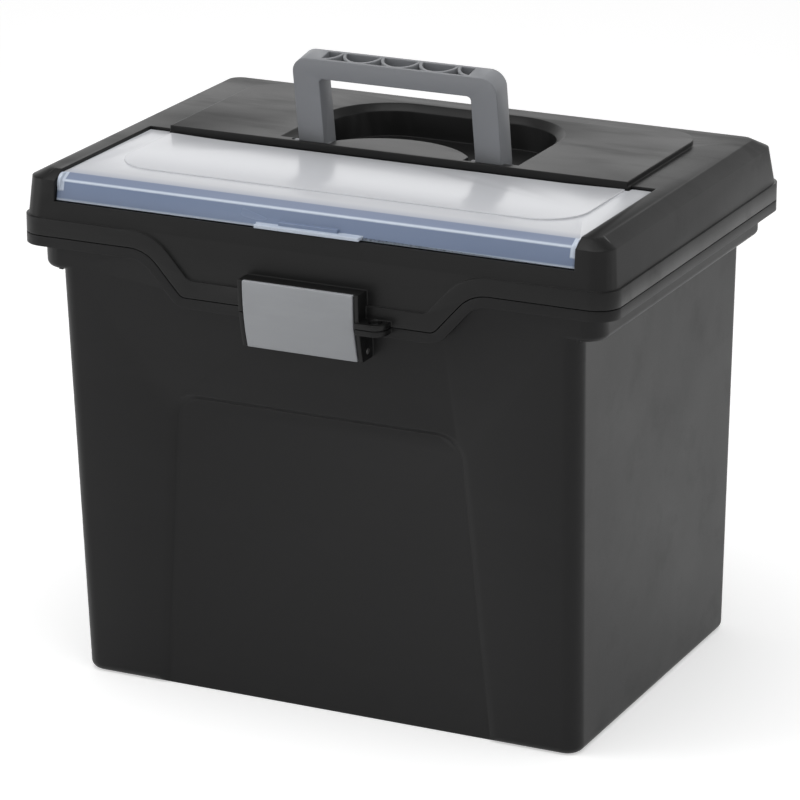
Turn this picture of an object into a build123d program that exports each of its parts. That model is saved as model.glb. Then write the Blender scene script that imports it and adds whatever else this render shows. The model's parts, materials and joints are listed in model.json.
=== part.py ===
from build123d import *
import os
from math import atan2, ceil, cos, hypot, radians, sin, sqrt, tan

# Portable letter-size file box: a drafted bin with rails for hanging folders, a hinged lid
# with an organizer tray under a clear door, a handle that folds into a recess, and a front
# latch beside a pair of padlock ears.
# Frame: millimetres, +Z up, the front faces -Y, the origin is the centre of the underside.

# ---- Walls and clearances ----
wall = 2.4
floor_thickness = 2.6
clear_wall = 2.0
parting_gap = 0.5
fit_gap = 0.3
side_play = 0.5
pin_clearance = 0.1
seat_clearance = 0.03

# ---- Bin ----
bin_half_width = 151.5
bin_half_depth = 110.0
bin_corner_radius = 10.0
bin_edge_radius = 5.0
side_draft = 0.015
front_draft = 0.057
back_draft = 0.004
parting_height = 260.0
bin_band = 6.0
collar_height = 20.4
collar_corner_radius = 13.0
collar_edge_radius = 3.5
collar_back_step = 3.5
hook_channel = 9.5
hook_ledge = 1.8
rail_height = 5.6
rim_side_step = 9.0
rim_front_step = 6.2
rim_back_step = 5.5
rim_corner_radius = 14.0
recess_depth = 3.0
recess_foot_half_width = 105.0
recess_head_half_width = 90.0
recess_height = 178.0
recess_corner_radius = 18.0
recess_side_slope = 7.0
recess_head_slope = 3.5

# ---- Dip of the parting line across the front ----
dip_depth = 24.0
dip_foot = 75.0
dip_head = 96.5
dip_foot_radius = 6.0
dip_head_radius = 22.0
dip_zone = 6.8

# ---- Lid ----
lid_band = 10.0
lid_step = 1.5
lid_wall_height = 21.0
lid_lean = 2.0
lid_back_lean = 6.0
bevel_height = 4.7
bevel_width = 8.5
bevel_back_width = 8.0
panel_rise = 3.0
panel_side_step = 25.0
panel_back_step = 14.5
panel_corner_radius = 21.0
tray_clearance = 2.0
divider_height = 14.0
divider_thickness = 1.8
divider_position = 50.0

# ---- Organizer door ----
door_border = 10.4
door_reach = 102.7
door_drop = 1.7
door_axis_drop = 1.9
door_tail = 6.5
door_panel_step = 15.6
door_panel_rise = 1.0
door_panel_front = 31.0
door_panel_back = 1.6
door_panel_bow = 5.8
door_panel_radius = 26.0
door_lip_height = 14.0
lip_foot_step = 3.1
lip_facet_start = 1.7
lip_ridge_step = 4.5
lip_ridge_drop = 3.2
cheek_front_step = 6.2
cheek_front_drop = 7.0
cheek_bulge = 2.1
door_skirt = 3.5
door_pin_radius = 1.6
door_pin_length = 4.0
nose_gap = 3.0
swing_gap = 0.5
tab_half_width = 31.0
tab_reach = 3.8
tab_thickness = 2.0
tab_ledge_half_width = 17.5
tab_ledge_height = 2.2

# ---- Handle and its recess ----
trough_half_width = 67.5
trough_depth = 91.0
trough_corner_radius = 36.0
trough_bevel = 5.0
trough_bevel_height = 3.5
trough_front_bevel = 1.0
leg_notch_depth = 3.2
leg_notch_side = 3.5
island_half_width = 40.6
island_radius = 52.0
island_depth = 22.5
handle_half_width = 61.7
handle_leg = 15.7
handle_thickness = 14.0
handle_height = 58.5
handle_grip = 11.5
handle_corner_radius = 9.0
handle_inner_radius = 2.5
handle_lean = 10.0
handle_front = 4.6
handle_axis_drop = 8.7
handle_wall_gap = 6.5
hub_radius = 6.2
hub_play = 0.6
handle_pin_radius = 2.5
channel_half_length = 44.5
channel_depth = 8.0
channel_rail = 1.8
rib_pitch = 23.1
rib_thickness = 1.6

# ---- Latch and padlock ears ----
latch_half_width = 32.7
latch_stand = 10.5
latch_plate = 2.5
latch_rise = 18.0
latch_fall = 20.5
latch_bow = 125.0
latch_axis_step = 3.0
latch_axis_drop = 16.0
latch_pin_radius = 1.9
latch_arm_wall = 2.6
latch_arm_step = 1.5
hook_length = 5.0
hook_height = 2.6
hook_gap = 0.7
catch_overlap = 2.5
bracket_wall = 2.5
cheek_step = 0.8
boss_radius = 4.0
ear_thickness = 2.9
ear_radius = 7.0
ear_stand = 4.5
ear_position = 43.5
ear_hole_radius = 4.0

# ---- Rear hinges ----
hinge_position = 100.0
hinge_radius = 4.8
hinge_stand = 5.5
hinge_pin_radius = 2.0
knuckle_width = 14.0


# ---- Places that follow from the sizes ----
def bin_side(height):
    """Half width of the drafted bin at a height."""
    return bin_half_width + side_draft * height


def bin_front(height):
    """Place of the leaning front wall at a height."""
    return -bin_half_depth - front_draft * height


def bin_back(height):
    """Place of the back wall at a height."""
    return bin_half_depth + back_draft * height


collar_bottom = parting_height - collar_height
collar_half_width = bin_side(collar_bottom) + hook_channel + wall
collar_back = bin_back(collar_bottom) + collar_back_step
rim_half_width = collar_half_width + rim_side_step
rim_front = bin_front(parting_height) - rim_front_step
rim_back = collar_back + rim_back_step
dip_angle = atan2(dip_depth, dip_head - dip_foot)
dip_back = bin_front(parting_height) + dip_zone
dip_height = parting_height - dip_depth
bin_top = parting_height - parting_gap / 2
lid_bottom = parting_height + parting_gap / 2

band_top = parting_height + lid_band
shoulder = band_top + lid_wall_height
lid_top = shoulder + bevel_height
panel_top = lid_top + panel_rise
lid_half_width = rim_half_width - lid_step
lid_front = rim_front + lid_step
lid_back = rim_back - lid_step
top_half_width = lid_half_width - lid_lean - bevel_width
top_front = lid_front + lid_lean + bevel_width
top_back = lid_back - lid_back_lean - bevel_back_width

door_half_width = top_half_width - door_border
door_axis_y = lid_front + lid_lean + door_reach
door_top = lid_top - door_drop
door_axis_z = door_top - door_axis_drop
opening_half_width = door_half_width + fit_gap
opening_floor = door_top - door_lip_height - fit_gap
panel_half_width = top_half_width - panel_side_step
panel_front = door_axis_y + nose_gap
panel_back = top_back - panel_back_step
lip_foot_y = lid_front + lip_foot_step
lip_foot_z = door_top - door_lip_height
tray_floor = lid_bottom + tray_clearance + wall
tray_back = door_axis_y + door_tail + fit_gap + side_play

trough_front = tray_back + wall
trough_back = trough_front + trough_depth
handle_y = trough_front + handle_wall_gap
handle_z = panel_top - handle_axis_drop
trough_floor = handle_z - (handle_thickness - handle_front) - fit_gap
leg_inner = handle_half_width - handle_leg

latch_face_y = rim_front - latch_stand
latch_y = rim_front + latch_axis_step
latch_z = dip_height - latch_axis_drop
latch_head = dip_height + latch_rise
latch_tail = dip_height - latch_fall
cheek_inner = latch_half_width + side_play
bracket_half_width = cheek_inner + bracket_wall
hood_front = latch_face_y + latch_plate + side_play
ear_y = rim_front - ear_stand
hood_bottom = latch_head - bracket_wall
hook_top = hood_bottom - side_play
hook_bottom = hook_top - hook_height
hinge_y = rim_back + hinge_stand
hinge_z = parting_height


# ---- Shared shapes ----
def plan(height, half_width, front, back, radius):
    """Level rectangle with round corners, from its half width and its front and back edges."""
    with BuildSketch(Plane.XY.offset(height)) as outline:
        with Locations((0, (front + back) / 2)):
            RectangleRounded(2 * half_width, back - front, radius)
    return outline.sketch


def block(x_range, y_range, z_range):
    """Rectangular block between its limits along each axis."""
    size = [high - low for low, high in (x_range, y_range, z_range)]
    centre = [(high + low) / 2 for low, high in (x_range, y_range, z_range)]
    with BuildPart() as solid:
        with Locations(tuple(centre)):
            Box(*size)
    return solid.part


def rod(start, end, y, z, radius):
    """Cylinder that lies along X between two places."""
    with BuildPart() as solid:
        with BuildSketch(Plane.YZ.offset(start)):
            with Locations((y, z)):
                Circle(radius)
        extrude(amount=end - start)
    return solid.part


def above_parting(shift):
    """All that lies above the parting line, moved square to itself by a distance."""
    reach = 2 * rim_half_width
    ceiling = parting_height + reach
    high = parting_height + shift
    low = high - dip_depth
    bend = shift * tan(dip_angle / 2)
    foot_radius = max(dip_foot_radius, dip_foot_radius - shift)
    head_radius = dip_head_radius + shift
    with BuildPart() as region:
        with BuildSketch(Plane.XZ.offset(-dip_back)):
            with BuildLine():
                line = FilletPolyline(
                    (-reach, high),
                    (bend - dip_head, high),
                    (bend - dip_foot, low),
                    (dip_foot - bend, low),
                    (dip_head - bend, high),
                    (reach, high),
                    radius=[head_radius, foot_radius, foot_radius, head_radius],
                )
                Polyline(line @ 1, (reach, ceiling), (-reach, ceiling), line @ 0)
            make_face()
        extrude(amount=reach)
        add(block((-reach, reach), (dip_back, reach), (high, ceiling)))
    return region.part


def rim_prism(inset):
    """Upright prism of the rim's outline, drawn in by a distance, taller than both bands."""
    bottom = dip_height - 2 * bin_band
    base = plan(
        bottom,
        rim_half_width - inset,
        rim_front + inset,
        rim_back - inset,
        rim_corner_radius - inset,
    )
    with BuildPart() as prism:
        extrude(base, amount=band_top + lid_band - bottom)
    return prism.part


# ---- Bin ----
def bin_shape(bottom, top, inset, edge_radius):
    """Drafted block of the bin between two heights, drawn in by a distance."""
    sections = [
        plan(
            height,
            bin_side(height) - inset,
            bin_front(height) + inset,
            bin_back(height) - inset,
            bin_corner_radius - inset,
        )
        for height in (bottom, top)
    ]
    with BuildPart() as shape:
        loft(sections, ruled=True)
        if edge_radius:
            fillet(shape.faces().sort_by(Axis.Z)[0].edges(), edge_radius)
    return shape.part


def collar_shape():
    """Step that carries the hook channels and the rim, flush with the front wall."""
    sections = [
        plan(height, collar_half_width, bin_front(height), collar_back, collar_corner_radius)
        for height in (collar_bottom, bin_top)
    ]
    with BuildPart() as shape:
        loft(sections, ruled=True)
        fillet(shape.faces().sort_by(Axis.Z)[0].edges(), collar_edge_radius)
    return shape.part


def recess_outline(sink, side, head, foot):
    """Outline of the front's sunk panel on a plane behind the leaning wall."""
    face = Plane(origin=(0, bin_front(0), 0), x_dir=(1, 0, 0), z_dir=(0, -1, -front_draft))
    with BuildSketch(face.offset(-sink)) as outline:
        with BuildLine():
            Polyline(
                (-recess_foot_half_width - side, foot),
                (recess_foot_half_width + side, foot),
                (recess_head_half_width + side, recess_height + head),
                (-recess_head_half_width - side, recess_height + head),
                close=True,
            )
        make_face()
        fillet(outline.vertices().group_by(Axis.Y)[-1], recess_corner_radius + head)
    return outline.sketch


def latch_band(start, front, back, low, high):
    """Side view of a bowed strip of the latch, between two depths behind its face."""
    centre = (latch_face_y + latch_bow, latch_head)
    with BuildSketch(Plane.YZ.offset(start)) as strip:
        with Locations(centre):
            Circle(latch_bow - front)
            Circle(latch_bow - back, mode=Mode.SUBTRACT)
        with Locations((latch_face_y, (low + high) / 2)):
            Rectangle(latch_bow, high - low, mode=Mode.INTERSECT)
    return strip.sketch


def bracket_cheek(low, high, back):
    """Cheek beside the latch, whose front edge follows the latch's bow."""
    deep = latch_face_y + latch_bow / 2
    with BuildPart() as cheek:
        extrude(latch_band(cheek_inner, cheek_step, latch_bow / 2, low, high), amount=bracket_wall)
        add(block((0, rim_half_width), (back, deep + latch_bow), (low, high)), mode=Mode.SUBTRACT)
    return cheek.part


def bin_bracket():
    """Right half of the latch bracket on the bin."""
    return bracket_cheek(latch_tail, bin_top - dip_depth, bin_front(latch_z) + wall / 2)


def lid_bracket():
    """Right half of the latch housing on the lid, with its hood and its share of the catch."""
    back = lid_front + wall / 2
    catch_front = latch_face_y + latch_plate + latch_arm_wall + hook_length - catch_overlap
    catch_top = hook_bottom - hook_gap
    with BuildPart() as bracket:
        add(bracket_cheek(lid_bottom - dip_depth, latch_head, back))
        add(block((0, bracket_half_width), (hood_front, back), (hood_bottom, latch_head)))
        add(block((0, bracket_half_width), (catch_front, back), (catch_top - bracket_wall, catch_top)))
    return bracket.part


def padlock_ear(bottom, height):
    """Tab with a round outer corner that stands off the front beside the latch."""
    start = bracket_half_width - bracket_wall / 2
    back = rim_front + wall / 2
    with BuildPart() as ear:
        with BuildSketch(Plane.XY.offset(bottom)):
            with Locations((ear_position, ear_y)):
                Circle(ear_radius)
            with Locations(((start + ear_position) / 2, ear_y)):
                Rectangle(ear_position - start, 2 * ear_radius)
            with Locations(((start + ear_position + ear_radius) / 2, (ear_y + back) / 2)):
                Rectangle(ear_position + ear_radius - start, back - ear_y)
        extrude(amount=height)
    return ear.part


def knuckle(start, width, above):
    """Hinge knuckle on its bracket behind the rim, above or below the parting line."""
    foot = rim_back - wall
    low = hinge_z + parting_gap / 2 if above else hinge_z - hinge_radius
    high = hinge_z + hinge_radius if above else hinge_z - parting_gap / 2
    with BuildPart() as part:
        add(rod(start, start + width, hinge_y, hinge_z, hinge_radius))
        add(block((start, start + width), (foot, hinge_y), (low, high)))
    return part.part


def rim_groove():
    """Hollow under the rim, between its web and its skirt."""
    with BuildPart() as groove:
        add(rim_prism(wall))
        add(above_parting(-wall - parting_gap / 2), mode=Mode.SUBTRACT)
    return groove.part


outer_knuckles = [
    side * hinge_position + step * (knuckle_width + side_play) - knuckle_width / 2
    for side in (-1, 1)
    for step in (-1, 1)
]
lid_knuckles = [side * hinge_position - knuckle_width / 2 for side in (-1, 1)]
ear_hole = (ear_position, ear_y, dip_height)
pin_end = trough_half_width + wall
handle_pin_spans = {
    "left": (-pin_end, -island_half_width + wall),
    "right": (island_half_width - wall, pin_end),
}

with BuildPart() as base_bin:
    # Rim band under the parting line, hollow from below.
    add(rim_prism(0))
    add(above_parting(-bin_band), mode=Mode.INTERSECT)
    add(rim_groove(), mode=Mode.SUBTRACT)
    # Outside of the bin and its collar, trimmed to the parting line.
    add(bin_shape(0, bin_top, 0, bin_edge_radius))
    add(collar_shape())
    add(above_parting(-parting_gap / 2), mode=Mode.SUBTRACT)
    # Inside: the file space, and above it the wider space of the hook channels.
    add(bin_shape(floor_thickness, bin_top + wall, wall, 0), mode=Mode.SUBTRACT)
    ledge_top = collar_bottom + hook_ledge
    channel_top = plan(
        ledge_top,
        collar_half_width - wall,
        bin_front(ledge_top) + wall,
        collar_back - wall,
        collar_corner_radius - wall,
    )
    extrude(channel_top, amount=collar_height, mode=Mode.SUBTRACT)
    # Rails that carry the hooks of hanging folders.
    rail_outer = bin_side(ledge_top)
    for side in (-1, 1):
        rail_x = sorted((side * rail_outer, side * (rail_outer - wall)))
        rail_y = (bin_front(ledge_top) + wall / 2, collar_back - wall / 2)
        add(block(rail_x, rail_y, (collar_bottom, ledge_top + rail_height)))
    # Sunk panel on the front, with the wall carried round behind it.
    inner_face = recess_outline(recess_depth + wall, 0, 0, floor_thickness / 2)
    extrude(inner_face, amount=recess_depth)
    slopes = [
        recess_outline(-recess_depth, recess_side_slope, recess_head_slope, -bin_edge_radius),
        recess_outline(recess_depth, -recess_side_slope, -recess_head_slope, -bin_edge_radius),
    ]
    loft(slopes, ruled=True, mode=Mode.SUBTRACT)
    # Latch bracket, lower padlock ear and outer hinge knuckles.
    bracket = bin_bracket()
    add(bracket)
    add(mirror(bracket, about=Plane.YZ, mode=Mode.PRIVATE))
    add(padlock_ear(bin_top - dip_depth - ear_thickness, ear_thickness))
    for start in outer_knuckles:
        add(knuckle(start, knuckle_width, above=False))
    # Holes for the padlock, the latch pin and the hinge pins.
    with Locations(ear_hole):
        Cylinder(ear_hole_radius, 2 * dip_depth, mode=Mode.SUBTRACT)
    hole = latch_pin_radius + seat_clearance
    add(rod(-bracket_half_width, bracket_half_width, latch_y, latch_z, hole), mode=Mode.SUBTRACT)
    for start in outer_knuckles:
        hole = hinge_pin_radius + seat_clearance
        add(rod(start, start + knuckle_width, hinge_y, hinge_z, hole), mode=Mode.SUBTRACT)
base_bin.part.label = "base_bin"


# ---- Lid ----
def lid_shape(inset, bottom):
    """Upright wall, leaning wall and bevel of the lid, drawn in by a distance."""
    top_lean = lid_lean + bevel_width
    levels = [
        (bottom, 0, 0),
        (band_top, 0, 0),
        (shoulder, lid_lean, lid_back_lean),
        (lid_top - inset, top_lean - inset / 2, lid_back_lean + bevel_back_width - inset / 2),
    ]
    sections = [
        plan(
            height,
            lid_half_width - lean - inset,
            lid_front + lean + inset,
            lid_back - back_lean - inset,
            rim_corner_radius - lid_step - lean / 2 - inset,
        )
        for height, lean, back_lean in levels
    ]
    with BuildPart() as shape:
        for lower, upper in zip(sections, sections[1:]):
            loft([lower, upper], ruled=True)
    return shape.part


def trough_outline(height, grow, front_grow):
    """Outline of the handle recess: straight sides and large round corners at the back."""
    half_width = trough_half_width + grow
    front = trough_front - front_grow
    back = trough_back + grow
    with BuildSketch(Plane.XY.offset(height)) as outline:
        with Locations((0, (front + back) / 2)):
            Rectangle(2 * half_width, back - front)
        fillet(outline.vertices().group_by(Axis.Y)[-1], trough_corner_radius + grow)
    return outline.sketch


def island_outline(height, inset):
    """Outline of the raised tongue between the legs, with a bowed end."""
    centre = trough_front + island_depth - island_radius
    with BuildSketch(Plane.XY.offset(height)) as outline:
        with Locations((0, centre)):
            Circle(island_radius - inset)
        with Locations((0, trough_front + island_depth / 2 - wall)):
            width = 2 * (island_half_width - inset)
            Rectangle(width, island_depth + 2 * wall, mode=Mode.INTERSECT)
    return outline.sketch


def raised_panel():
    """Raised field on top of the lid, straight in front and round at the back corners."""
    with BuildPart() as panel:
        with BuildSketch(Plane.XY.offset(lid_top - wall)) as outline:
            with Locations((0, (panel_front + panel_back) / 2)):
                Rectangle(2 * panel_half_width, panel_back - panel_front)
            fillet(outline.vertices().group_by(Axis.Y)[-1], panel_corner_radius)
        extrude(amount=panel_rise + wall)
    return panel.part


def tray_block():
    """Solid block of the organizer tray, kept within the lid's outside."""
    with BuildPart() as tray:
        add(
            block(
                (-tray_half_width, tray_half_width),
                (lid_front, trough_front),
                (tray_floor - wall, lid_top - wall / 2),
            )
        )
        add(lid_shape(wall / 2, dip_height - 2 * bin_band), mode=Mode.INTERSECT)
    return tray.part


door_panel_half_width = door_half_width - door_panel_step
nose_radius = hypot(door_panel_back, door_panel_rise + door_axis_drop) + swing_gap
tail_radius = hypot(door_tail, door_axis_drop) + fit_gap
ceiling = panel_top + panel_rise
leg_notch_y = (panel_front + wall, trough_front + wall)
tray_half_width = opening_half_width + wall
lid_inner_front = lid_front + wall

with BuildPart() as lid_shell:
    # Band above the parting line, and the walls behind it.
    add(rim_prism(0))
    add(above_parting(lid_band), mode=Mode.SUBTRACT)
    add(lid_shape(0, dip_height - 2 * bin_band))
    add(above_parting(parting_gap / 2), mode=Mode.INTERSECT)
    add(raised_panel())
    add(lid_shape(wall, dip_height - 2 * bin_band), mode=Mode.SUBTRACT)
    # Organizer tray under the door.
    add(tray_block())
    tray_inside = (-opening_half_width, opening_half_width)
    add(block(tray_inside, (lid_inner_front, tray_back), (tray_floor, lid_top - wall)), mode=Mode.SUBTRACT)
    # Opening for the door in the top and in the head of the front wall.
    cut_front = rim_front - wall
    add(block(tray_inside, (cut_front, panel_front), (opening_floor, ceiling)), mode=Mode.SUBTRACT)
    for side in (-1, 1):
        ear_x = sorted((side * (panel_half_width + side_play), side * opening_half_width))
        ear_cut = (panel_front - wall, door_axis_y + door_tail + fit_gap)
        add(block(ear_x, ear_cut, (opening_floor, ceiling)), mode=Mode.SUBTRACT)
        swing = rod(ear_x[0], ear_x[1], door_axis_y, door_axis_z, tail_radius)
        add(swing, mode=Mode.SUBTRACT)
    nose_end = panel_half_width + side_play
    add(rod(-nose_end, nose_end, door_axis_y, door_axis_z, nose_radius), mode=Mode.SUBTRACT)
    # Handle recess: a tub under the top with a bevelled mouth and a hollow tongue.
    extrude(trough_outline(trough_floor - wall, wall, wall), amount=lid_top - trough_floor + wall / 2)
    extrude(trough_outline(trough_floor, 0, 0), amount=ceiling - trough_floor, mode=Mode.SUBTRACT)
    mouth = [
        trough_outline(panel_top - trough_bevel_height, 0, 0),
        trough_outline(panel_top, trough_bevel, trough_front_bevel),
    ]
    loft(mouth, ruled=True, mode=Mode.SUBTRACT)
    extrude(island_outline(trough_floor, 0), amount=panel_top - trough_floor)
    hollow = island_outline(trough_floor - 2 * wall, wall)
    extrude(hollow, amount=panel_top - trough_floor + wall, mode=Mode.SUBTRACT)
    add(
        block(
            (-island_half_width, island_half_width),
            (trough_front - wall, trough_front),
            (trough_floor - wall, panel_top),
        )
    )
    # Shallow notches that bring the legs up to the panel's front edge.
    for side in (-1, 1):
        notch_x = sorted((side * island_half_width, side * (trough_half_width - leg_notch_side)))
        notch_z = (panel_top - leg_notch_depth, ceiling)
        add(block(notch_x, leg_notch_y, notch_z), mode=Mode.SUBTRACT)
    # Dividers of the tray.
    for side in (-1, 1):
        divider_x = side * divider_position
        half = divider_thickness / 2
        divider_y = (lid_inner_front - wall / 2, tray_back + wall / 2)
        height = (tray_floor - wall / 2, tray_floor + divider_height)
        add(block((divider_x - half, divider_x + half), divider_y, height))
    # Latch housing, upper padlock ear and middle hinge knuckles.
    bracket = lid_bracket()
    add(bracket)
    add(mirror(bracket, about=Plane.YZ, mode=Mode.PRIVATE))
    add(padlock_ear(lid_bottom - dip_depth, ear_thickness))
    for start in lid_knuckles:
        add(knuckle(start, knuckle_width, above=True))
    # Bosses for the door's pins, and holes for the padlock and all the pins.
    pin_room = door_half_width + door_pin_length + side_play
    for side in (-1, 1):
        boss_x = sorted((side * opening_half_width, side * (pin_room + wall)))
        hole_x = sorted((side * opening_half_width, side * pin_room))
        boss = door_pin_radius + pin_clearance + divider_thickness
        add(rod(boss_x[0], boss_x[1], door_axis_y, door_axis_z, boss))
        bore = rod(hole_x[0], hole_x[1], door_axis_y, door_axis_z, door_pin_radius + pin_clearance)
        add(bore, mode=Mode.SUBTRACT)
    with Locations(ear_hole):
        Cylinder(ear_hole_radius, 2 * dip_depth, mode=Mode.SUBTRACT)
    for start in lid_knuckles:
        hole = hinge_pin_radius + pin_clearance
        add(rod(start, start + knuckle_width, hinge_y, hinge_z, hole), mode=Mode.SUBTRACT)
    for start, end in handle_pin_spans.values():
        hole = handle_pin_radius + seat_clearance
        add(rod(start, end, handle_y, handle_z, hole), mode=Mode.SUBTRACT)
lid_shell.part.label = "lid_shell"


# ---- Organizer door ----
def door_profile(start):
    """Side view of the door's sheet: flat top, slanting facet, ridge and upright lip."""
    tail = door_axis_y + door_tail
    facet = top_front + lip_facet_start
    ridge = (top_front - lip_ridge_step, door_top - lip_ridge_drop)
    with BuildSketch(Plane.YZ.offset(start)) as profile:
        Polygon(
            (tail, door_top - clear_wall),
            (tail, door_top),
            (facet, door_top),
            ridge,
            (lip_foot_y, lip_foot_z),
            (lip_foot_y + clear_wall, lip_foot_z),
            (ridge[0] + clear_wall, ridge[1] - clear_wall / 2),
            (facet + clear_wall / 2, door_top - clear_wall),
            align=None,
        )
    return profile.sketch


def door_cheek_profile(start):
    """Side view of the cheek at each end of the lip, bulging ahead of the facet."""
    front = (top_front - cheek_front_step, door_top - cheek_front_drop)
    back = top_front + 2 * clear_wall
    flat_end = top_front + lip_facet_start - clear_wall / 2
    middle = ((front[0] + flat_end) / 2 - cheek_bulge, (front[1] + door_top) / 2 + cheek_bulge)
    with BuildSketch(Plane.YZ.offset(start)) as profile:
        with BuildLine():
            ThreePointArc((flat_end, door_top), middle, front)
            Polyline(
                front,
                (lip_foot_y, lip_foot_z),
                (lip_foot_y + clear_wall, lip_foot_z),
                (back, door_top - clear_wall - door_skirt),
                (back, door_top),
                (flat_end, door_top),
            )
        make_face()
    return profile.sketch


def door_panel_outline(height, inset):
    """Raised field of the door: round front corners and a back edge bowed to the front."""
    half_width = door_panel_half_width - inset
    front = lid_front + door_panel_front + inset + lid_lean
    back = door_axis_y + door_panel_back - inset
    with BuildSketch(Plane.XY.offset(height)) as outline:
        with BuildLine():
            ThreePointArc((half_width, back), (0, back - door_panel_bow), (-half_width, back))
            FilletPolyline(
                (-half_width, back),
                (-half_width, front),
                (half_width, front),
                (half_width, back),
                radius=[door_panel_radius - inset, door_panel_radius - inset],
            )
        make_face()
    return outline.sketch


with BuildPart() as organizer_door:
    extrude(door_profile(-door_half_width), amount=2 * door_half_width)
    # The middle of the tail stops short of the lid's raised panel.
    tail_end = panel_half_width + 2 * side_play
    tail_cut = (panel_front - side_play, panel_front + door_tail)
    add(block((-tail_end, tail_end), tail_cut, (door_axis_z - clear_wall, ceiling)), mode=Mode.SUBTRACT)
    # Raised field, hollow from below.
    extrude(door_panel_outline(door_top - clear_wall, 0), amount=clear_wall + door_panel_rise)
    hollow = door_panel_outline(door_top - 2 * clear_wall, clear_wall)
    extrude(hollow, amount=clear_wall + door_panel_rise, mode=Mode.SUBTRACT)
    # Skirts along the sides with their pins.
    skirt_y = (top_front, door_axis_y + door_skirt)
    skirt_z = (door_top - clear_wall - door_skirt, door_top - clear_wall / 2)
    for side in (-1, 1):
        skirt_x = sorted((side * (door_half_width - clear_wall), side * door_half_width))
        add(block(skirt_x, skirt_y, skirt_z))
        pin_x = sorted((side * (door_half_width - clear_wall), side * (door_half_width + door_pin_length)))
        add(rod(pin_x[0], pin_x[1], door_axis_y, door_axis_z, door_pin_radius))
        extrude(door_cheek_profile(skirt_x[0]), amount=clear_wall)
    # Finger tab along the foot of the lip, with a short ledge on it.
    tab_back = lip_foot_y + clear_wall / 2
    tab_front = lip_foot_y - tab_reach
    tab_z = lip_foot_z + fit_gap
    add(block((-tab_half_width, tab_half_width), (tab_front, tab_back), (tab_z, tab_z + tab_thickness)))
    ledge_y = ((tab_front + tab_back) / 2, tab_back)
    ledge_x = (-tab_ledge_half_width, tab_ledge_half_width)
    add(block(ledge_x, ledge_y, (tab_z, tab_z + tab_thickness + tab_ledge_height)))
organizer_door.part.label = "organizer_door"


# ---- Handle ----
lean = radians(handle_lean)
handle_back = handle_thickness - handle_front
axis_point = (0, handle_y, handle_z)
handle_face = Plane(origin=axis_point, x_dir=(1, 0, 0), z_dir=(0, -cos(lean), -sin(lean)))
handle_side = Plane(origin=axis_point, x_dir=(0, cos(lean), sin(lean)), z_dir=(1, 0, 0))
handle_top = Plane(origin=axis_point, x_dir=(1, 0, 0), z_dir=(0, -sin(lean), cos(lean)))

channel_width = handle_thickness - 2 * channel_rail
channel_middle = (handle_back - handle_front) / 2
rib_bow = (rib_pitch**2 / 4 + channel_width**2) / (2 * channel_width)


def grip_ribs():
    """Row of arcs whose ends stand on the back rail and whose middles run into the front one."""
    count = ceil(channel_half_length / rib_pitch)
    across = channel_middle - channel_width / 2 + rib_bow - rib_thickness / 2
    centres = [(place * rib_pitch, across) for place in range(-count, count + 1)]
    with BuildSketch() as ribs:
        with Locations(*centres):
            Circle(rib_bow)
        with Locations(*centres):
            Circle(rib_bow - rib_thickness, mode=Mode.SUBTRACT)
    return ribs.sketch


with BuildPart() as carry_handle:
    # Upside-down U, seen from the front.
    with BuildSketch(handle_face.offset(-handle_back)):
        with BuildLine():
            FilletPolyline(
                (-handle_half_width, -hub_radius),
                (-handle_half_width, handle_height),
                (handle_half_width, handle_height),
                (handle_half_width, -hub_radius),
                radius=[handle_corner_radius, handle_corner_radius],
            )
            inner = FilletPolyline(
                (leg_inner, -hub_radius),
                (leg_inner, handle_height - handle_grip),
                (-leg_inner, handle_height - handle_grip),
                (-leg_inner, -hub_radius),
                radius=[handle_inner_radius, handle_inner_radius],
            )
            Line((handle_half_width, -hub_radius), inner @ 0)
            Line(inner @ 1, (-handle_half_width, -hub_radius))
        make_face()
    extrude(amount=handle_thickness)
    # Round lower end, so that the legs turn clear of the recess.
    with BuildSketch(handle_side.offset(-handle_half_width)) as side_view:
        Circle(hub_radius)
        corner = hub_radius * sqrt(0.5)
        Polygon(
            (-handle_front, 0),
            (corner, -corner),
            (handle_back, handle_back - 2 * corner),
            (handle_back, handle_height + wall),
            (-handle_front, handle_height + wall),
            align=None,
        )
        with Locations((-handle_front - hub_radius, 0)):
            Rectangle(2 * hub_radius, 4 * hub_radius, mode=Mode.SUBTRACT)
    extrude(amount=2 * handle_half_width, mode=Mode.INTERSECT)
    # Hubs that fill the width of the recess, bored for the pins.
    for side in (-1, 1):
        hub_inner = island_half_width + hub_play
        hub_outer = trough_half_width - hub_play
        hub_x = sorted((side * hub_inner, side * hub_outer))
        add(rod(hub_x[0], hub_x[1], handle_y, handle_z, hub_radius))
        bore = rod(hub_x[0], hub_x[1], handle_y, handle_z, handle_pin_radius + pin_clearance)
        add(bore, mode=Mode.SUBTRACT)
    # Open channel along the grip, with bowed stiffening ribs between its rails.
    with BuildSketch(handle_top.offset(handle_height)):
        with Locations((0, channel_middle)):
            Rectangle(2 * channel_half_length, channel_width)
        add(grip_ribs(), mode=Mode.SUBTRACT)
    extrude(amount=-channel_depth, mode=Mode.SUBTRACT)
carry_handle.part.label = "carry_handle"


# ---- Latch ----
with BuildPart() as latch_face:
    face_plate = latch_band(-latch_half_width, 0, latch_plate, latch_tail, latch_head)
    extrude(face_plate, amount=2 * latch_half_width)
latch_face.part.label = "latch_face"

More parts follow.
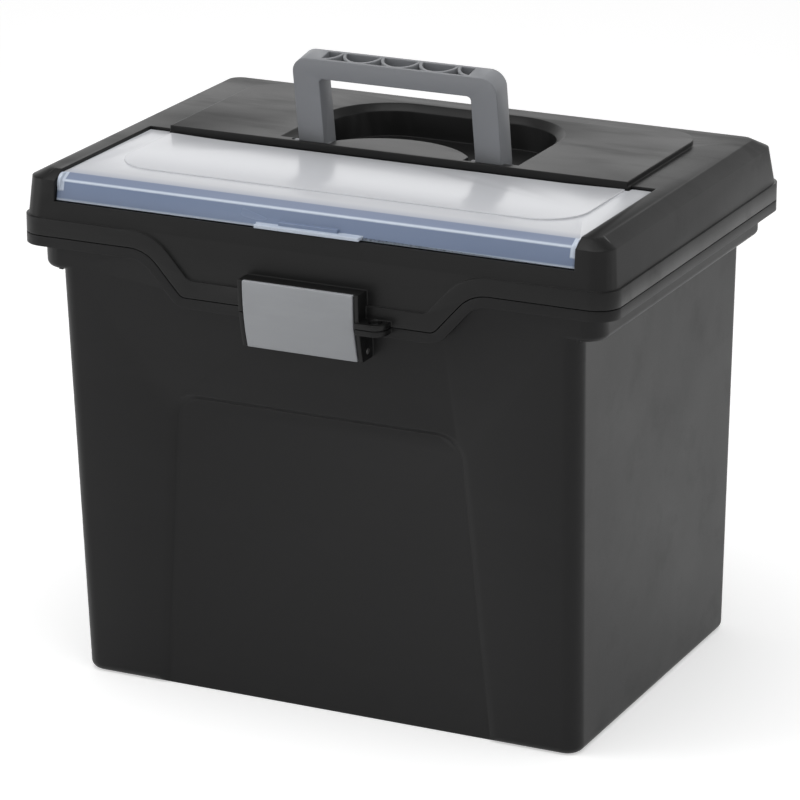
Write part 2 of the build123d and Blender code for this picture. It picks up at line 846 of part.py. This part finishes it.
arm_half_width = latch_half_width - latch_arm_step
arm_depth = latch_plate + latch_arm_wall
with BuildPart() as latch_arm:
    # Plate behind the face, with the hook that reaches over the lid's catch.
    arm_x = (-arm_half_width, arm_half_width)
    arm_plate = latch_band(-arm_half_width, latch_plate, arm_depth, latch_z, hook_top)
    extrude(arm_plate, amount=2 * arm_half_width)
    hook_y = (latch_face_y + arm_depth - latch_arm_wall / 2, latch_face_y + arm_depth + hook_length)
    add(block(arm_x, hook_y, (hook_bottom, hook_top)))
    # Link to the boss that turns on the pin.
    add(rod(arm_x[0], arm_x[1], latch_y, latch_z, boss_radius))
    link_y = (latch_y - boss_radius - latch_arm_wall / 2, latch_y)
    add(block(arm_x, link_y, (latch_z, latch_z + boss_radius)))
    bore = rod(arm_x[0], arm_x[1], latch_y, latch_z, latch_pin_radius + pin_clearance)
    add(bore, mode=Mode.SUBTRACT)
latch_arm.part.label = "latch_arm"


# ---- Steel pins ----
with BuildPart() as latch_pin:
    add(rod(-bracket_half_width, bracket_half_width, latch_y, latch_z, latch_pin_radius))
latch_pin.part.label = "latch_pin"

parts = [base_bin.part, lid_shell.part, organizer_door.part, carry_handle.part]
parts += [latch_face.part, latch_arm.part, latch_pin.part]

for name, (start, end) in handle_pin_spans.items():
    with BuildPart() as handle_pin:
        add(rod(start, end, handle_y, handle_z, handle_pin_radius))
    handle_pin.part.label = f"handle_pin_{name}"
    parts.append(handle_pin.part)

hinge_pin_half = 1.5 * knuckle_width + 2 * side_play
for name, side in (("left", -1), ("right", 1)):
    with BuildPart() as hinge_pin:
        middle = side * hinge_position
        add(rod(middle - hinge_pin_half, middle + hinge_pin_half, hinge_y, hinge_z, hinge_pin_radius))
    hinge_pin.part.label = f"lid_hinge_pin_{name}"
    parts.append(hinge_pin.part)


# ---- Files ----
os.makedirs("parts", exist_ok=True)
for part in parts:
    export_step(part, f"parts/{part.label}.step")
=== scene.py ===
import json
from math import pi, radians

import bmesh
import bpy
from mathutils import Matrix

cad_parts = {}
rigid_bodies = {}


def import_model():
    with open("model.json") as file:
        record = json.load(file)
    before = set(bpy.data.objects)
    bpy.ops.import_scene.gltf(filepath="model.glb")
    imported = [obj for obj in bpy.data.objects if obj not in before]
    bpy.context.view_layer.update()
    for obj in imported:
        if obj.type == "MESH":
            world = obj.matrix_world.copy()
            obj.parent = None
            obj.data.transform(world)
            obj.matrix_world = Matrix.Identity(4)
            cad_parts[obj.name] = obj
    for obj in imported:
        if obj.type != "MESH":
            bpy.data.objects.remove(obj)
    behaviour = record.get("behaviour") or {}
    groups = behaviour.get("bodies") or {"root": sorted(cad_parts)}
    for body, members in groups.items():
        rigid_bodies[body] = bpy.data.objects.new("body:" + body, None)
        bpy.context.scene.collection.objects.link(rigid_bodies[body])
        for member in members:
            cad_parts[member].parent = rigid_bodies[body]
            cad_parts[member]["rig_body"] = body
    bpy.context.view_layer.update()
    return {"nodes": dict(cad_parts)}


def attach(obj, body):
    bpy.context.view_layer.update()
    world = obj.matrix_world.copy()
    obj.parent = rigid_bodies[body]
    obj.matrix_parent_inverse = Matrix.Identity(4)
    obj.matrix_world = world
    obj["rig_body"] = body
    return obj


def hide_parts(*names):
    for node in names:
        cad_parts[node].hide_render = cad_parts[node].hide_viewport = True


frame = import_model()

# ---- Values, in metres ----
MM = 0.001
SHELL_EDGE = 0.9 * MM
SMALL_EDGE = 0.5 * MM
DOOR_EDGE = 0.4 * MM
EDGE_ANGLE = radians(28)
EDGE_STEPS = 3
MERGE_DISTANCE = 0.004 * MM
FLAT_ANGLE = radians(0.6)
SHADED_SHELL_EDGE = 1.1 * MM
SHADED_SMALL_EDGE = 0.5 * MM
SHADED_DOOR_EDGE = 0.8 * MM
SHADED_EDGE_SAMPLES = 6
GRAIN_SCALE = 1500.0
CLEAR_IOR = 1.49
LIP_START = -117.3 * MM
LIP_RIDGE = 290.8 * MM
LIP_FOOT = 280.0 * MM
TAB_HALF = 31.5 * MM
SIDE_BEAD = 151.9 * MM
END_RIB = 149.6 * MM

# ---- Colours of the door ----
SHEET_LOW = (0.60, 0.61, 0.64, 1.0)
SHEET_HIGH = (0.66, 0.67, 0.70, 1.0)
SHEET_NEAR_LIP = (0.42, 0.45, 0.53, 1.0)
# Painted highlight along the door's side beads.
BEAD_PAINTED_HIGHLIGHT = (0.74, 0.76, 0.80, 1.0)
LIP_LOWER = ((0.15, 0.205, 0.33, 1.0), (0.23, 0.29, 0.42, 1.0))
# Upper facet of the lip: a lighter copy of the lip colour, painted light for how light falls on that
# facet.
LIP_UPPER_PAINTED_LIT = ((0.20, 0.255, 0.38, 1.0), (0.30, 0.345, 0.46, 1.0))
# Painted highlight for the clear lip's foot, ridge, finger tab and end ribs.
LIP_PAINTED_HIGHLIGHT = (0.62, 0.69, 0.80, 1.0)


# ---- Node graphs ----
class Signal:
    """An output socket of a node graph. Arithmetic on it adds Math nodes."""

    def __init__(self, finish, socket):
        self.finish = finish
        self.socket = socket

    def _math(self, operation, first, second):
        return self.finish.add("ShaderNodeMath", {"operation": operation}, {0: first, 1: second})

    def __add__(self, other):
        return self._math("ADD", self, other)

    def __sub__(self, other):
        return self._math("SUBTRACT", self, other)

    def __mul__(self, other):
        return self._math("MULTIPLY", self, other)

    def __radd__(self, other):
        return self._math("ADD", other, self)

    def __rsub__(self, other):
        return self._math("SUBTRACT", other, self)

    def __rmul__(self, other):
        return self._math("MULTIPLY", other, self)


class Graph:
    """A tree of nodes that are added one by one and end in its output."""

    def __init__(self, owner, output_kind):
        owner.use_nodes = True
        self.owner = owner
        self.nodes = owner.node_tree.nodes
        self.links = owner.node_tree.links
        self.nodes.clear()
        self.out = self.nodes.new(output_kind)

    def add(self, kind, settings=None, inputs=None, output=0):
        """Adds a node: its settings first, then the values or links of its sockets."""
        node = self.nodes.new(kind)
        for key, value in (settings or {}).items():
            if key == "stops":
                self._set_stops(node, value)
            else:
                setattr(node, key, value)
        for key, value in (inputs or {}).items():
            if isinstance(value, Signal):
                self.links.new(value.socket, node.inputs[key])
            else:
                node.inputs[key].default_value = value
        return Signal(self, node.outputs[output])

    def _set_stops(self, node, stops):
        elements = node.color_ramp.elements
        while len(elements) < len(stops):
            elements.new(0.5)
        for element, (place, colour) in zip(elements, stops):
            element.position = place
            element.color = colour

    def surface(self, shader):
        """Ends the graph: the shader goes to the output's surface."""
        self.links.new(shader.socket, self.out.inputs["Surface"])
        return self.owner


def new_finish(name):
    """Empty graph of a new material."""
    return Graph(bpy.data.materials.new(name), "ShaderNodeOutputMaterial")


def grey(level, tint=(1.0, 1.0, 1.0)):
    """Opaque colour of one level, with a slight tint."""
    return tuple(level * part for part in tint) + (1.0,)


def mix_colour(finish, factor, low, high):
    """Colour that goes from low to high with a factor."""
    settings = {"data_type": "RGBA"}
    return finish.add("ShaderNodeMix", settings, {"Factor": factor, 6: low, 7: high}, output=2)


def noise(finish, scale, detail=2.0, roughness=0.5, stretch=(1.0, 1.0, 1.0)):
    """Noise on the piece's own coordinates, in metres, from 0 to 1."""
    place = finish.add("ShaderNodeTexCoord", output="Object")
    place = finish.add("ShaderNodeMapping", None, {"Vector": place, "Scale": stretch})
    inputs = {"Vector": place, "Scale": scale, "Detail": detail, "Roughness": roughness}
    return finish.add("ShaderNodeTexNoise", {"noise_dimensions": "3D"}, inputs)


def ramp(finish, value, low, high):
    """Value that goes from 0 to 1 between two levels and stays there beyond them."""
    inputs = {"Value": value, "From Min": low, "From Max": high}
    return finish.add("ShaderNodeMapRange", None, inputs)


def larger(finish, first, second):
    """The larger of two values."""
    return finish.add("ShaderNodeMath", {"operation": "MAXIMUM"}, {0: first, 1: second})


def grained_normal(finish, radius, strength, depth, grain):
    """Normal of a surface with a fine grain and edges shaded as rounded."""
    edge = finish.add("ShaderNodeBevel", {"samples": SHADED_EDGE_SAMPLES}, {"Radius": radius})
    inputs = {"Strength": strength, "Distance": depth, "Height": grain, "Normal": edge}
    return finish.add("ShaderNodeBump", None, inputs)


def moulded_plastic(name, level, tint, roughness, specular, cloud, radius=SHADED_SHELL_EDGE):
    """Moulded plastic: fine grain, soft clouds of sheen, faint rubbed streaks, rounded edges."""
    finish = new_finish(name)
    grain_noise = noise(finish, GRAIN_SCALE, 3.0, 0.6)
    blotch = noise(finish, 16.0, 4.0, 0.6, stretch=(0.45, 1.0, 1.0))
    streak = noise(finish, 34.0, 5.0, 0.65, stretch=(0.22, 1.0, 1.0))
    rubbed = ramp(finish, streak, 0.52, 0.74)
    colour = mix_colour(finish, rubbed, grey(level, tint), grey(level * (1 + 5 * cloud), tint))
    rough = roughness + (blotch - 0.5) * (2.2 * cloud) + (grain_noise - 0.5) * 0.08 + rubbed * cloud
    bump = grained_normal(finish, radius, 0.22, 0.05 * MM, grain_noise)
    shader = finish.add(
        "ShaderNodeBsdfPrincipled",
        None,
        {
            "Base Color": colour,
            "Roughness": rough,
            "Specular IOR Level": specular,
            "Normal": bump,
        },
    )
    return finish.surface(shader)


def frosted_clear(name):
    """Clear plastic: a pale satin sheet with painted highlights on its side beads, and a bluish lip
    with painted highlights on its foot, ridge, ribs and tab and a painted lighter upper facet.
    """
    finish = new_finish(name)
    place = finish.add("ShaderNodeTexCoord", output="Object")
    across = finish.add("ShaderNodeSeparateXYZ", None, {"Vector": place}, output=1)
    height = finish.add("ShaderNodeSeparateXYZ", None, {"Vector": place}, output=2)
    along = finish.add("ShaderNodeSeparateXYZ", None, {"Vector": place}, output=0)
    aside = finish.add("ShaderNodeMath", {"operation": "ABSOLUTE"}, {0: along})
    lip = 1 - ramp(finish, across, LIP_START - 0.4 * MM, LIP_START + 0.2 * MM)
    flow = noise(finish, 14.0, 2.0, 0.5, stretch=(1.0, 0.25, 1.0))
    sheet_colour = mix_colour(finish, flow, SHEET_LOW, SHEET_HIGH)
    near_lip = (1 - ramp(finish, across, LIP_START, LIP_START + 9.0 * MM)) * 0.7
    sheet_colour = mix_colour(finish, near_lip, sheet_colour, SHEET_NEAR_LIP)
    # Painted highlight: the sheet turns near white along its side beads.
    bead = ramp(finish, aside, SIDE_BEAD, SIDE_BEAD + 0.3 * MM)
    sheet_colour = mix_colour(finish, bead, sheet_colour, BEAD_PAINTED_HIGHLIGHT)
    grain_noise = noise(finish, GRAIN_SCALE, 2.0, 0.5)
    bump = grained_normal(finish, SHADED_DOOR_EDGE, 0.12, 0.04 * MM, grain_noise)
    sheet = finish.add(
        "ShaderNodeBsdfPrincipled",
        None,
        {
            "Base Color": sheet_colour,
            "Roughness": 0.24 + (flow - 0.5) * 0.08,
            "IOR": CLEAR_IOR,
            "Transmission Weight": 0.12,
            "Normal": bump,
        },
    )
    # Painted highlights: a light line along the lip's foot and another along its ridge.
    foot = 1 - ramp(finish, height, LIP_FOOT + 0.5 * MM, LIP_FOOT + 1.6 * MM)
    from_ridge = finish.add("ShaderNodeMath", {"operation": "ABSOLUTE"}, {0: height - LIP_RIDGE})
    ridge = 1 - ramp(finish, from_ridge, 0.3 * MM, 0.8 * MM)
    cloudy = noise(finish, 30.0, 3.0, 0.5, stretch=(0.25, 1.0, 1.0))
    # Painted light: above the ridge the lip takes the lighter copy of its colour.
    facet = ramp(finish, height, LIP_RIDGE, LIP_RIDGE + 1.0 * MM)
    lower = mix_colour(finish, cloudy, *LIP_LOWER)
    upper = mix_colour(finish, cloudy, *LIP_UPPER_PAINTED_LIT)
    body = mix_colour(finish, facet, lower, upper)
    painted_highlight = larger(finish, foot, ridge)
    # Painted highlights on the finger tab and the end ribs, joined with the lip's lines and mixed
    # over the lip colour.
    strip = 1 - ramp(finish, height, LIP_FOOT + 2.2 * MM, LIP_FOOT + 2.8 * MM)
    tab = strip * (1 - ramp(finish, aside, TAB_HALF, TAB_HALF + 0.4 * MM))
    rib_side = ramp(finish, aside, END_RIB, END_RIB + 0.4 * MM)
    rib = rib_side * ramp(finish, height, LIP_FOOT + 5.0 * MM, LIP_FOOT + 6.0 * MM)
    painted_highlight = larger(finish, larger(finish, painted_highlight, tab), rib)
    lip_colour = mix_colour(finish, painted_highlight, body, LIP_PAINTED_HIGHLIGHT)
    edge = finish.add(
        "ShaderNodeBsdfPrincipled",
        None,
        {
            "Base Color": lip_colour,
            "Roughness": 0.20 + cloudy * 0.10,
            "IOR": CLEAR_IOR,
            "Transmission Weight": 0.15,
            "Normal": bump,
        },
    )
    shader = finish.add("ShaderNodeMixShader", None, {0: lip, 1: sheet, 2: edge})
    return finish.surface(shader)


def turned_steel(name):
    """Bright drawn steel with fine lengthwise drawing marks."""
    finish = new_finish(name)
    lines = noise(finish, 900.0, 2.0, 0.6, stretch=(0.03, 1.0, 1.0))
    colour = mix_colour(finish, lines, grey(0.45), grey(0.62))
    rough = 0.26 + lines * 0.14
    shader = finish.add(
        "ShaderNodeBsdfPrincipled",
        None,
        {"Base Color": colour, "Roughness": rough, "Metallic": 1.0},
    )
    return finish.surface(shader)


# ---- Pieces ----
def rounded_copy(node, material, edge):
    """Copy of a CAD solid with its seams merged and its flats made whole.

    The Bevel modifier rounds its edges as far as the clamp against overlaps lets it. On the bin,
    the lid and the handle that is under 0.04 mm, so their edges are rounded by shading alone.
    """
    source = frame["nodes"][node]
    mesh = bpy.data.meshes.new(f"{node}_moulded")
    shape = bmesh.new()
    shape.from_mesh(source.data)
    bmesh.ops.remove_doubles(shape, verts=shape.verts, dist=MERGE_DISTANCE)
    bmesh.ops.dissolve_limit(
        shape, angle_limit=FLAT_ANGLE, verts=shape.verts, edges=shape.edges
    )
    for face in shape.faces:
        face.smooth = True
    shape.to_mesh(mesh)
    shape.free()
    piece = bpy.data.objects.new(f"{node}_moulded", mesh)
    bpy.context.scene.collection.objects.link(piece)
    mesh.materials.append(material)
    bevel = piece.modifiers.new("edges", "BEVEL")
    bevel.width = edge
    bevel.segments = EDGE_STEPS
    bevel.limit_method = "ANGLE"
    bevel.angle_limit = EDGE_ANGLE
    bevel.use_clamp_overlap = True
    bevel.harden_normals = True
    body = source["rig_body"]
    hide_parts(node)
    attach(piece, body)
    return piece


BLACK = moulded_plastic("black_moulded", 0.0080, (1.0, 1.0, 1.03), 0.42, 0.20, cloud=0.05)
LID_BLACK = moulded_plastic("lid_moulded", 0.0075, (1.0, 1.0, 1.0), 0.36, 0.22, cloud=0.12)
HANDLE_GREY = moulded_plastic("handle_moulded", 0.235, (0.97, 1.0, 1.06), 0.42, 0.4, cloud=0.02)
LATCH_GREY = moulded_plastic("latch_moulded", 0.325, (0.97, 1.0, 1.05), 0.40, 0.4, cloud=0.02,
                              radius=SHADED_SMALL_EDGE)
CLEAR = frosted_clear("clear_moulded")
STEEL = turned_steel("pin_steel")

rounded_copy("base_bin", BLACK, SHELL_EDGE)
rounded_copy("lid_shell", LID_BLACK, SHELL_EDGE)
rounded_copy("organizer_door", CLEAR, DOOR_EDGE)
rounded_copy("carry_handle", HANDLE_GREY, SHELL_EDGE)
rounded_copy("latch_face", LATCH_GREY, SMALL_EDGE)
rounded_copy("latch_arm", BLACK, SMALL_EDGE)
PINS = (
    "handle_pin_left",
    "handle_pin_right",
    "latch_pin",
    "lid_hinge_pin_left",
    "lid_hinge_pin_right",
)
for pin in PINS:
    rounded_copy(pin, STEEL, SMALL_EDGE)


# ---- Stage ----
def floor_material():
    """Pale floor that keeps the shadow, with part of its white given to the camera's rays."""
    finish = new_finish("floor_white")
    seen = (
        finish.add("ShaderNodeLightPath", output="Is Camera Ray")
        + finish.add("ShaderNodeLightPath", output="Is Glossy Ray")
        + finish.add("ShaderNodeLightPath", output="Is Transmission Ray")
    )
    diffuse = finish.add("ShaderNodeBsdfDiffuse", None, {"Color": grey(0.8)})
    glow = finish.add("ShaderNodeEmission", None, {"Color": grey(1.0), "Strength": seen * 0.45})
    shader = finish.add("ShaderNodeAddShader", None, {0: diffuse, 1: glow})
    return finish.surface(shader)


def floor(size):
    """Flat square under the object."""
    half = size / 2
    corners = [(-half, -half, 0), (half, -half, 0), (half, half, 0), (-half, half, 0)]
    mesh = bpy.data.meshes.new("floor")
    mesh.from_pydata(corners, [], [(0, 1, 2, 3)])
    mesh.materials.append(floor_material())
    piece = bpy.data.objects.new("floor", mesh)
    bpy.context.scene.collection.objects.link(piece)


def lamp(name, place, target, size, power):
    """Square soft lamp at a place, turned to a target."""
    light = bpy.data.lights.new(name, "AREA")
    light.shape = "RECTANGLE"
    light.size, light.size_y = size
    light.energy = power
    rig = bpy.data.objects.new(name, light)
    bpy.context.scene.collection.objects.link(rig)
    rig.location = place
    way = rig.location - type(rig.location)(target)
    rig.rotation_mode = "QUATERNION"
    rig.rotation_quaternion = way.to_track_quat("Z", "Y")


def world(level):
    """White surroundings for the camera, a sweep that darkens upwards for gloss, dimmer as light."""
    graph = Graph(bpy.data.worlds.new("studio"), "ShaderNodeOutputWorld")
    bpy.context.scene.world = graph.owner
    camera_ray = graph.add("ShaderNodeLightPath", output="Is Camera Ray")
    glossy_ray = graph.add("ShaderNodeLightPath", output="Is Glossy Ray")
    clear_ray = graph.add("ShaderNodeLightPath", output="Is Transmission Ray")
    way = graph.add("ShaderNodeTexCoord", output="Generated")
    height = graph.add("ShaderNodeSeparateXYZ", None, {"Vector": way}, output=2)
    sweep = graph.add(
        "ShaderNodeValToRGB",
        {"stops": [(0.0, grey(1.0)), (0.30, grey(0.95)), (0.50, grey(0.34)), (1.0, grey(0.22))]},
        {"Fac": height},
    )
    level_signal = camera_ray + clear_ray + glossy_ray * sweep
    other = 1 - (camera_ray + clear_ray + glossy_ray)
    back = graph.add(
        "ShaderNodeBackground", None, {"Color": grey(1.0), "Strength": level_signal + other * level}
    )
    graph.surface(back)


floor(8.0)
world(0.45)
lamp("top_lamp", (0.0, -0.3, 1.7), (0, 0, 0.2), (1.6, 1.2), 14)
lamp("left_lamp", (-1.6, -1.1, 1.0), (0, 0, 0.2), (0.9, 1.2), 8)
lamp("right_lamp", (1.8, 0.2, 0.9), (0, 0, 0.2), (0.9, 1.2), 3)
lamp("back_lamp", (-1.0, 2.1, 1.25), (0, 0, 0.25), (2.0, 1.0), 3)

# ---- Camera ----
CAMERA_PLACE = (0.99866, -2.11628, 0.92699)
CAMERA_AZIMUTH = radians(25.406)
CAMERA_ELEVATION = radians(18.386)
CAMERA_LENS = 196.63

camera_data = bpy.data.cameras.new("camera")
camera_data.sensor_width = 36.0
camera_data.lens = CAMERA_LENS
camera_data.clip_start = 0.1
camera_data.clip_end = 50.0
camera = bpy.data.objects.new("camera", camera_data)
bpy.context.scene.collection.objects.link(camera)
camera.location = CAMERA_PLACE
camera.rotation_euler = (pi / 2 - CAMERA_ELEVATION, 0.0, CAMERA_AZIMUTH)
bpy.context.scene.camera = camera
bpy.context.scene.view_settings.view_transform = "Standard"
